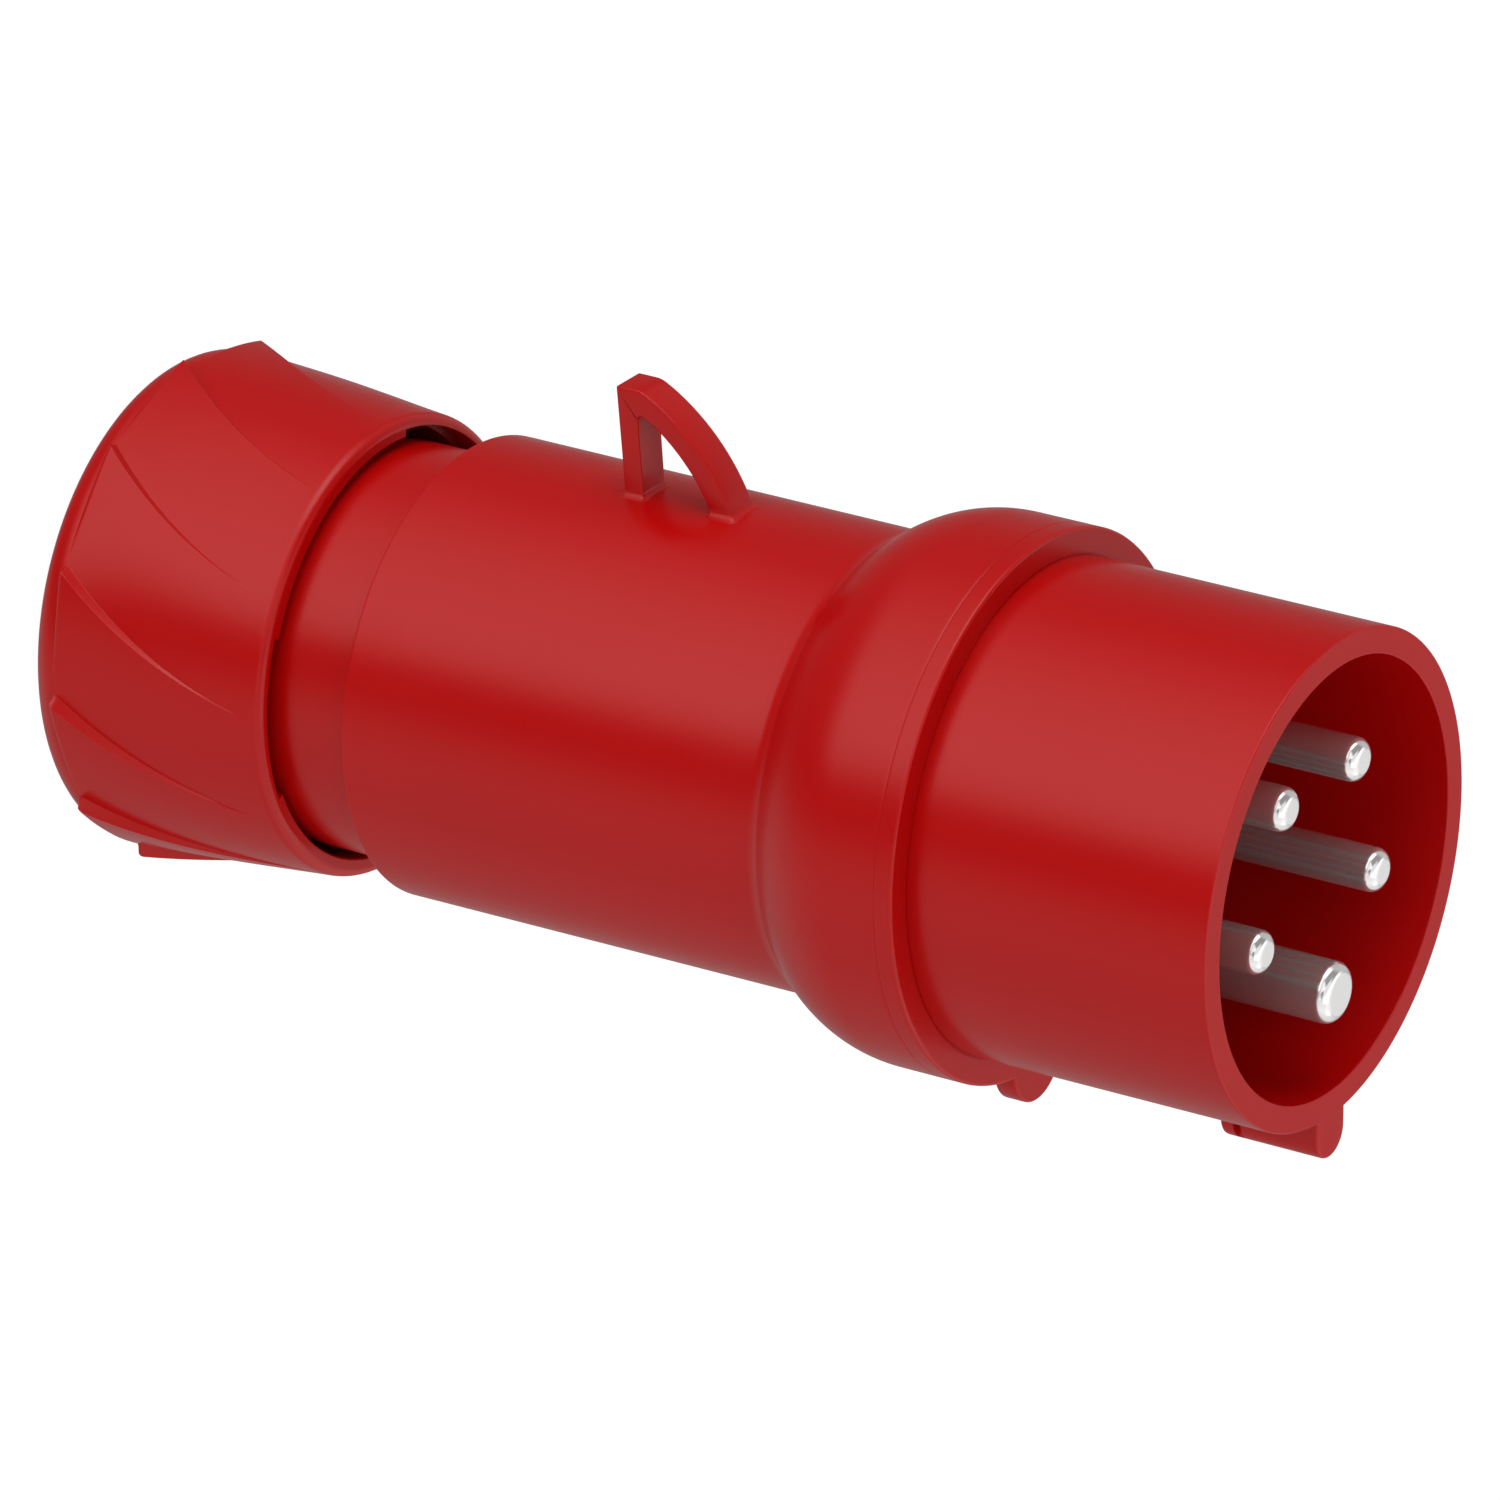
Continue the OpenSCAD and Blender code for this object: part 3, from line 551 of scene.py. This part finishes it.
# Glass-filled polyamide, injection moulded in a fine spark-eroded tool: a satin skin with a broad
# soft highlight and faint flow clouds in the colour. The real grain is finer than a tenth of a
# millimetre, so it is drawn coarser, and it still only softens the highlight.
def mouldedPolyamide(name, colour):
    p = plastic
    material, tree, place = newMaterial(name)
    cloud, sheen, grain = (
        addNode(tree, "ShaderNodeTexNoise", {"Scale": 1 / (p[size] * mm), "Detail": detail},
                {"Vector": place}).outputs["Fac"]
        for size, detail in (("cloudSize", 2.0), ("sheenSize", 3.0), ("grainSize", 2.0)))
    base = np.array(hexColour(colour)[:3])
    tint = addNode(tree, "ShaderNodeValToRGB", links={"Fac": cloud})
    for element, position, side in zip(tint.color_ramp.elements, p["cloudEnds"], (-1, 1)):
        element.position = position
        element.color = (*(base * (1 + side * p["cloudShare"])), 1)
    rough = addNode(tree, "ShaderNodeMapRange", {
        "To Min": p["roughness"] - p["sheenRange"], "To Max": p["roughness"] + p["sheenRange"]},
        {"Value": sheen})
    bump = addNode(tree, "ShaderNodeBump", {
        "Strength": p["grainStrength"], "Distance": p["grainDepth"] * mm}, {"Height": grain})
    shader = addNode(tree, "ShaderNodeBsdfPrincipled", {"IOR": p["ior"]}, {
        "Base Color": tint.outputs["Color"], "Roughness": rough.outputs["Result"],
        "Normal": bump.outputs["Normal"]})
    addNode(tree, "ShaderNodeOutputMaterial", links={"Surface": shader.outputs["BSDF"]})
    return material


# Each metal: its colour, roughness and how far a haze moves it, and how metallic its plate is. The
# last two are the roughness of the ends and the share of the metallic look they keep.
metal = {
    "nickel": ("#d6d3d0", 0.19, 0.008, 0.76, 0.08, 0.05),
    "zinc": ("#b4b8bb", 0.34, 0.04, 1.0, 0.34, 1.0),
    "spring": ("#a9acb0", 0.26, 0.04, 1.0, 0.26, 1.0),
    # The ends' near-white colour is a painted reflection.
    "hazeSize": 3.0, "hazeTint": 0.99, "paintedEndReflectionHex": "#fefdfc", "endSlope": (0.1, 0.4),
    "facedSlope": (0.95, 0.99),
}


# Turned or rolled metal under a thin plate: bright, with a cloudy haze in the polish. The nickel is
# only partly metallic, so part of the light that falls on it is scattered. Faces that turn upwards,
# most of all the pins' faced ends, get a near-white, smoother and nearly non-metallic colour: a
# painted reflection that makes the bright nickel ends look nearly white.
def platedMetal(name, colour, roughness, haze, metallic, endRoughness, endShare):
    m = metal
    material, tree, place = newMaterial(name)
    cloud = addNode(tree, "ShaderNodeTexNoise", {"Scale": 1 / (m["hazeSize"] * mm), "Detail": 3.0},
                    {"Vector": place}).outputs["Fac"]
    rough = addNode(tree, "ShaderNodeMapRange", {
        "To Min": roughness - haze, "To Max": roughness + haze}, {"Value": cloud})
    base = np.array(hexColour(colour)[:3])
    tint = addNode(tree, "ShaderNodeValToRGB", links={"Fac": cloud})
    tint.color_ramp.elements[0].color = (*(base * m["hazeTint"]), 1)
    tint.color_ramp.elements[1].color = (*base, 1)
    normal = addNode(tree, "ShaderNodeNewGeometry").outputs["Normal"]
    upward = addNode(tree, "ShaderNodeSeparateXYZ", links={0: normal}).outputs["Z"]
    # Faces that turn upwards, the pins' ends most: near-white, smoother and less metallic, a painted
    # reflection.
    ends = addNode(tree, "ShaderNodeMapRange", {
        "From Min": m["endSlope"][0], "From Max": m["endSlope"][1], "To Max": float(endShare < 1)},
        {"Value": upward}).outputs["Result"]
    faced = addNode(tree, "ShaderNodeMapRange", {
        "From Min": m["facedSlope"][0], "From Max": m["facedSlope"][1],
        "To Min": metallic, "To Max": metallic * endShare}, {"Value": upward})
    endRough = addNode(tree, "ShaderNodeMix", {"B": endRoughness},
                       {"Factor": ends, "A": rough.outputs["Result"]})
    shade = addNode(tree, "ShaderNodeMix", {"data_type": "RGBA", 7: hexColour(m["paintedEndReflectionHex"])},
                    {0: ends, 6: tint.outputs["Color"]})
    shader = addNode(tree, "ShaderNodeBsdfPrincipled", links={
        "Base Color": shade.outputs[2], "Roughness": endRough.outputs["Result"],
        "Metallic": faced.outputs["Result"]})
    addNode(tree, "ShaderNodeOutputMaterial", links={"Surface": shader.outputs["BSDF"]})
    return material


rubber = {
    "black": "#232427", "ior": 1.5, "roughness": 0.62, "bloomSize": 4.0, "bloomShare": 1.5,
    "grainSize": 0.35, "grainDepth": 0.02, "grainStrength": 0.5,
}


# Moulded rubber: nearly black, matt, with a faint greyish bloom and a fine stippled skin.
def mouldedRubber(name):
    p = rubber
    material, tree, place = newMaterial(name)
    bloom, grain = (
        addNode(tree, "ShaderNodeTexNoise", {"Scale": 1 / (p[size] * mm), "Detail": detail},
                {"Vector": place}).outputs["Fac"]
        for size, detail in (("bloomSize", 4.0), ("grainSize", 2.0)))
    base = np.array(hexColour(p["black"])[:3])
    tint = addNode(tree, "ShaderNodeValToRGB", links={"Fac": bloom})
    tint.color_ramp.elements[0].color = (*base, 1)
    tint.color_ramp.elements[1].color = (*(base * p["bloomShare"]), 1)
    bump = addNode(tree, "ShaderNodeBump", {
        "Strength": p["grainStrength"], "Distance": p["grainDepth"] * mm}, {"Height": grain})
    shader = addNode(tree, "ShaderNodeBsdfPrincipled", {"IOR": p["ior"], "Roughness": p["roughness"]}, {
        "Base Color": tint.outputs["Color"], "Normal": bump.outputs["Normal"]})
    addNode(tree, "ShaderNodeOutputMaterial", links={"Surface": shader.outputs["BSDF"]})
    return material


redPlastic = mouldedPolyamide("mouldedRedPolyamide", plastic["red"])
# The darker red is painted shade for the carrier on the floor deep inside the sleeve.
paintedShadeRedPlastic = mouldedPolyamide("redPolyamideWithPaintedShade", plastic["paintedShadeRed"])
greyPlastic = mouldedPolyamide("mouldedGreyPolyamide", plastic["grey"])
blackRubber = mouldedRubber("mouldedBlackRubber")
nickelBrass = platedMetal("nickelPlatedTurnedBrass", *metal["nickel"])
zincSteel = platedMetal("zincPlatedSteel", *metal["zinc"])
springSteel = platedMetal("rolledSpringSteel", *metal["spring"])
print("materials made")


# A new piece gets its material, the body it moves with and the frame nodes it stands for. Its slot name
# is not used.
def finishPiece(piece, material, bodyName, slotName, *nodes):
    piece.data.materials.append(material)
    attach(piece, bodyName)
    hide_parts(*nodes)


sleevePiece = skin("sleeveMoulding", (turned(sleeveProfile(), 288), True), (sleeveKey(), False),
                   (flangeLug(), False))
finishPiece(sleevePiece, redPlastic, "housing", "red_plastic", "shroud")
print("sleeve made")
bodyPiece = skin("bodyMoulding", (bodySurface(), True), (loopSurface(), False))
finishPiece(bodyPiece, redPlastic, "housing", "red_plastic", "housing")
print("body made")
finishPiece(skin("unionNut", (capSurface(), True)), redPlastic, "cap", "red_plastic", "cap")
print("union nut made")
for node, angle in contacts["angles"].items():
    kind = contacts["earth" if node == "pin_earth" else "phase"]
    pin = skin("contact" + node[4:].title(), (pinSurface(**kind, angle=angle), False))
    finishPiece(pin, nickelBrass, "housing", "nickel_plate", node)
print("contacts made")

# Material of each frame node that is shown as it is
cadFinish = {
    # The contact carrier takes the darker red: painted shade for the floor of the sleeve.
    "contact_carrier": paintedShadeRedPlastic, "terminal_cover": greyPlastic, "front_gasket": blackRubber,
    "cable_seal": blackRubber, "clamp_cage": greyPlastic, "thrust_washer": zincSteel,
    "terminal_screws": zincSteel, "insert_screws": zincSteel,
    "wire_guard_l1": springSteel, "wire_guard_l2": springSteel, "wire_guard_l3": springSteel,
    "wire_guard_n": springSteel, "wire_guard_earth": springSteel,
}
for node, material in cadFinish.items():
    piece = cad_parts[node]
    piece.data.materials.clear()
    piece.data.materials.append(material)
print("frame nodes finished")

# Camera: lens and distance in millimetres, looking at a point from an azimuth and an elevation, and
# rolled so that the plug lies across the picture
view = {
    "azimuth": -27.2945, "elevation": 29.1198, "roll": 103.9887, "lens": 290.5176, "sensor": 36.0,
    "distance": 1340.0, "lookAt": (2.98, 2.26, 76.05),
}
azimuth, elevation, roll = (math.radians(view[k]) for k in ("azimuth", "elevation", "roll"))
back = Vector((math.sin(azimuth) * math.cos(elevation), -math.cos(azimuth) * math.cos(elevation),
               math.sin(elevation)))
level = Vector((0, 0, 1)).cross(back).normalized()
upright = back.cross(level)
right = level * math.cos(roll) + upright * math.sin(roll)
top = upright * math.cos(roll) - level * math.sin(roll)
cameraData = bpy.data.cameras.new("camera")
cameraData.lens, cameraData.sensor_width = view["lens"], view["sensor"]
cameraData.dof.use_dof = False
camera = bpy.data.objects.new("camera", cameraData)
camera.matrix_world = Matrix((right, top, back)).transposed().to_4x4()
camera.location = (Vector(view["lookAt"]) + back * view["distance"]) * mm
scene.collection.objects.link(camera)
scene.camera = camera

# Floor: a pale sheet that glows by itself and shows a soft shadow in the light it scatters
studio = {
    "paleHex": "#ffffff", "floorGlow": 0.97, "floorMatt": 0.12, "floorHalf": 4000, "floorDrop": 0.2,
}
half, drop = studio["floorHalf"] * mm, studio["floorDrop"] * mm
floorMesh = bpy.data.meshes.new("floor")
corners = [(x * half, y * half, -drop) for x, y in ((-1, -1), (1, -1), (1, 1), (-1, 1))]
floorMesh.from_pydata(corners, [], [(0, 1, 2, 3)])
floor = bpy.data.objects.new("floor", floorMesh)
scene.collection.objects.link(floor)
pale = hexColour(studio["paleHex"])
material, tree, place = newMaterial("paleFloor")
glow = addNode(tree, "ShaderNodeEmission", {"Color": pale, "Strength": studio["floorGlow"]})
matt = addNode(tree, "ShaderNodeBsdfDiffuse", {"Color": (studio["floorMatt"],) * 3 + (1,)})
both = addNode(tree, "ShaderNodeAddShader",
               links={0: glow.outputs["Emission"], 1: matt.outputs["BSDF"]})
addNode(tree, "ShaderNodeOutputMaterial", links={"Surface": both.outputs["Shader"]})
floorMesh.materials.append(material)
floor.visible_diffuse = floor.visible_glossy = floor.visible_shadow = False

# Studio light as the world's brightness by direction, with up towards the loop side and front towards
# the mouth. Two ramps give the floor, the dark horizon and the ceiling of the near and the far side,
# from straight down to straight up, and soft boxes are added to them. A box is its light times its
# soft edges, each 0 at its first number and 1 at its second along the axis that it names.
light = {
    "farEdge": (-0.25, 0.35),
    "near": [(0.0, 0.34), (0.1, 0.5), (0.3, 0.7), (0.4, 0.56), (0.47, 0.3), (0.53, 0.14),
             (0.6, 0.13), (0.7, 0.17), (1.0, 0.2)],
    "far": [(0.0, 0.3), (0.2, 0.31), (0.3, 0.375), (0.42, 0.27), (0.5, 0.18), (0.75, 0.16),
            (1.0, 0.18)],
    "boxes": {
        "topBox": (1.5, [("up", 0.22, 0.48), ("front", -0.74, -0.56), ("front", 0.45, 0.1),
                         ("far", 0.62, -0.75)]),
        "topFarBox": (2.2, [("up", 0.3, 0.6), ("front", -0.42, 0.0), ("front", 0.52, 0.38),
                            ("far", 0.65, 0.15), ("far", -0.45, 0.0)]),
        "nearBox": (0.8, [("up", 0.2, 0.34), ("front", 0.3, 0.5), ("front", 0.9, 0.8),
                          ("far", -0.3, -0.5)]),
        "frontBox": (0.6, [("front", 0.72, 0.86), ("up", 0.5, 0.36), ("up", -0.5, -0.3),
                           ("far", 0.45, 0.1)]),
        "frontLowBox": (0.75, [("front", 0.58, 0.72), ("up", 0.22, 0.04), ("up", -0.35, -0.15),
                               ("far", 0.1, 0.45)]),
        "nearWall": (0.45, [("far", -0.6, -0.8), ("front", 0.1, 0.3), ("front", 0.62, 0.5),
                            ("up", -0.25, -0.1), ("up", 0.36, 0.24)]),
        "frontFloor": (0.16, [("front", -0.4, 0.3), ("up", 0.2, -0.3), ("far", 0.75, 0.45)]),
        "lowFloor": (0.25, [("front", -0.1, 0.3), ("up", -0.45, -0.75)]),
        "farFloor": (0.4, [("front", 0.5, 0.6), ("up", 0.2, -0.1), ("far", -0.25, 0.25)]),
        "farWall": (0.25, [("far", 0.4, 0.7), ("front", -0.3, 0.1), ("front", 0.75, 0.55),
                           ("up", -0.3, 0.0)]),
    },
    "axes": {"up": (-1.0, 0.0, 0.0), "far": (0.0, 1.0, 0.0), "front": (0.0, 0.0, 1.0)},
}
world = bpy.data.worlds.new("studio")
scene.world = world
world.use_nodes = True
tree = world.node_tree
tree.nodes.clear()
direction = addNode(tree, "ShaderNodeTexCoord").outputs["Generated"]
along = {name: addNode(tree, "ShaderNodeVectorMath", {"operation": "DOT_PRODUCT", 1: axis},
                       {0: direction}).outputs["Value"] for name, axis in light["axes"].items()}
upShare = addNode(tree, "ShaderNodeMapRange", {"From Min": -1.0, "From Max": 1.0},
                  {"Value": along["up"]}).outputs["Result"]
farShare = addNode(tree, "ShaderNodeMapRange", {
    "interpolation_type": "SMOOTHSTEP", "From Min": light["farEdge"][0],
    "From Max": light["farEdge"][1]}, {"Value": along["far"]}).outputs["Result"]
sides = {}
for side in ("near", "far"):
    ramp = addNode(tree, "ShaderNodeValToRGB", links={"Fac": upShare})
    stops, elements = light[side], ramp.color_ramp.elements
    elements[0].position, elements[1].position = stops[0][0], stops[-1][0]
    elements[0].color, elements[1].color = (stops[0][1],) * 3 + (1,), (stops[-1][1],) * 3 + (1,)
    for position, value in stops[1:-1]:
        elements.new(position).color = (value, value, value, 1)
    sides[side] = ramp.outputs["Color"]
brightness = addNode(tree, "ShaderNodeMix", links={
    "Factor": farShare, "A": sides["near"], "B": sides["far"]}).outputs["Result"]
for power, edges in light["boxes"].values():
    box = None
    for axis, outer, inner in edges:
        edge = addNode(tree, "ShaderNodeMapRange", {
            "interpolation_type": "SMOOTHSTEP", "From Min": outer, "From Max": inner},
            {"Value": along[axis]}).outputs["Result"]
        box = edge if box is None else addNode(
            tree, "ShaderNodeMath", {"operation": "MULTIPLY"}, {0: box, 1: edge}).outputs["Value"]
    brightness = addNode(tree, "ShaderNodeMath", {"operation": "MULTIPLY_ADD", 1: power},
                         {0: box, 2: brightness}).outputs["Value"]
lit = addNode(tree, "ShaderNodeBackground", {"Color": pale}, {"Strength": brightness})
plain = addNode(tree, "ShaderNodeBackground", {"Color": pale, "Strength": 1.0})
path = addNode(tree, "ShaderNodeLightPath")
seen = addNode(tree, "ShaderNodeMixShader", links={
    0: path.outputs["Is Camera Ray"], 1: lit.outputs["Background"], 2: plain.outputs["Background"]})
addNode(tree, "ShaderNodeOutputWorld", links={"Surface": seen.outputs["Shader"]})
scene.view_settings.view_transform = "Standard"
print("stage made")
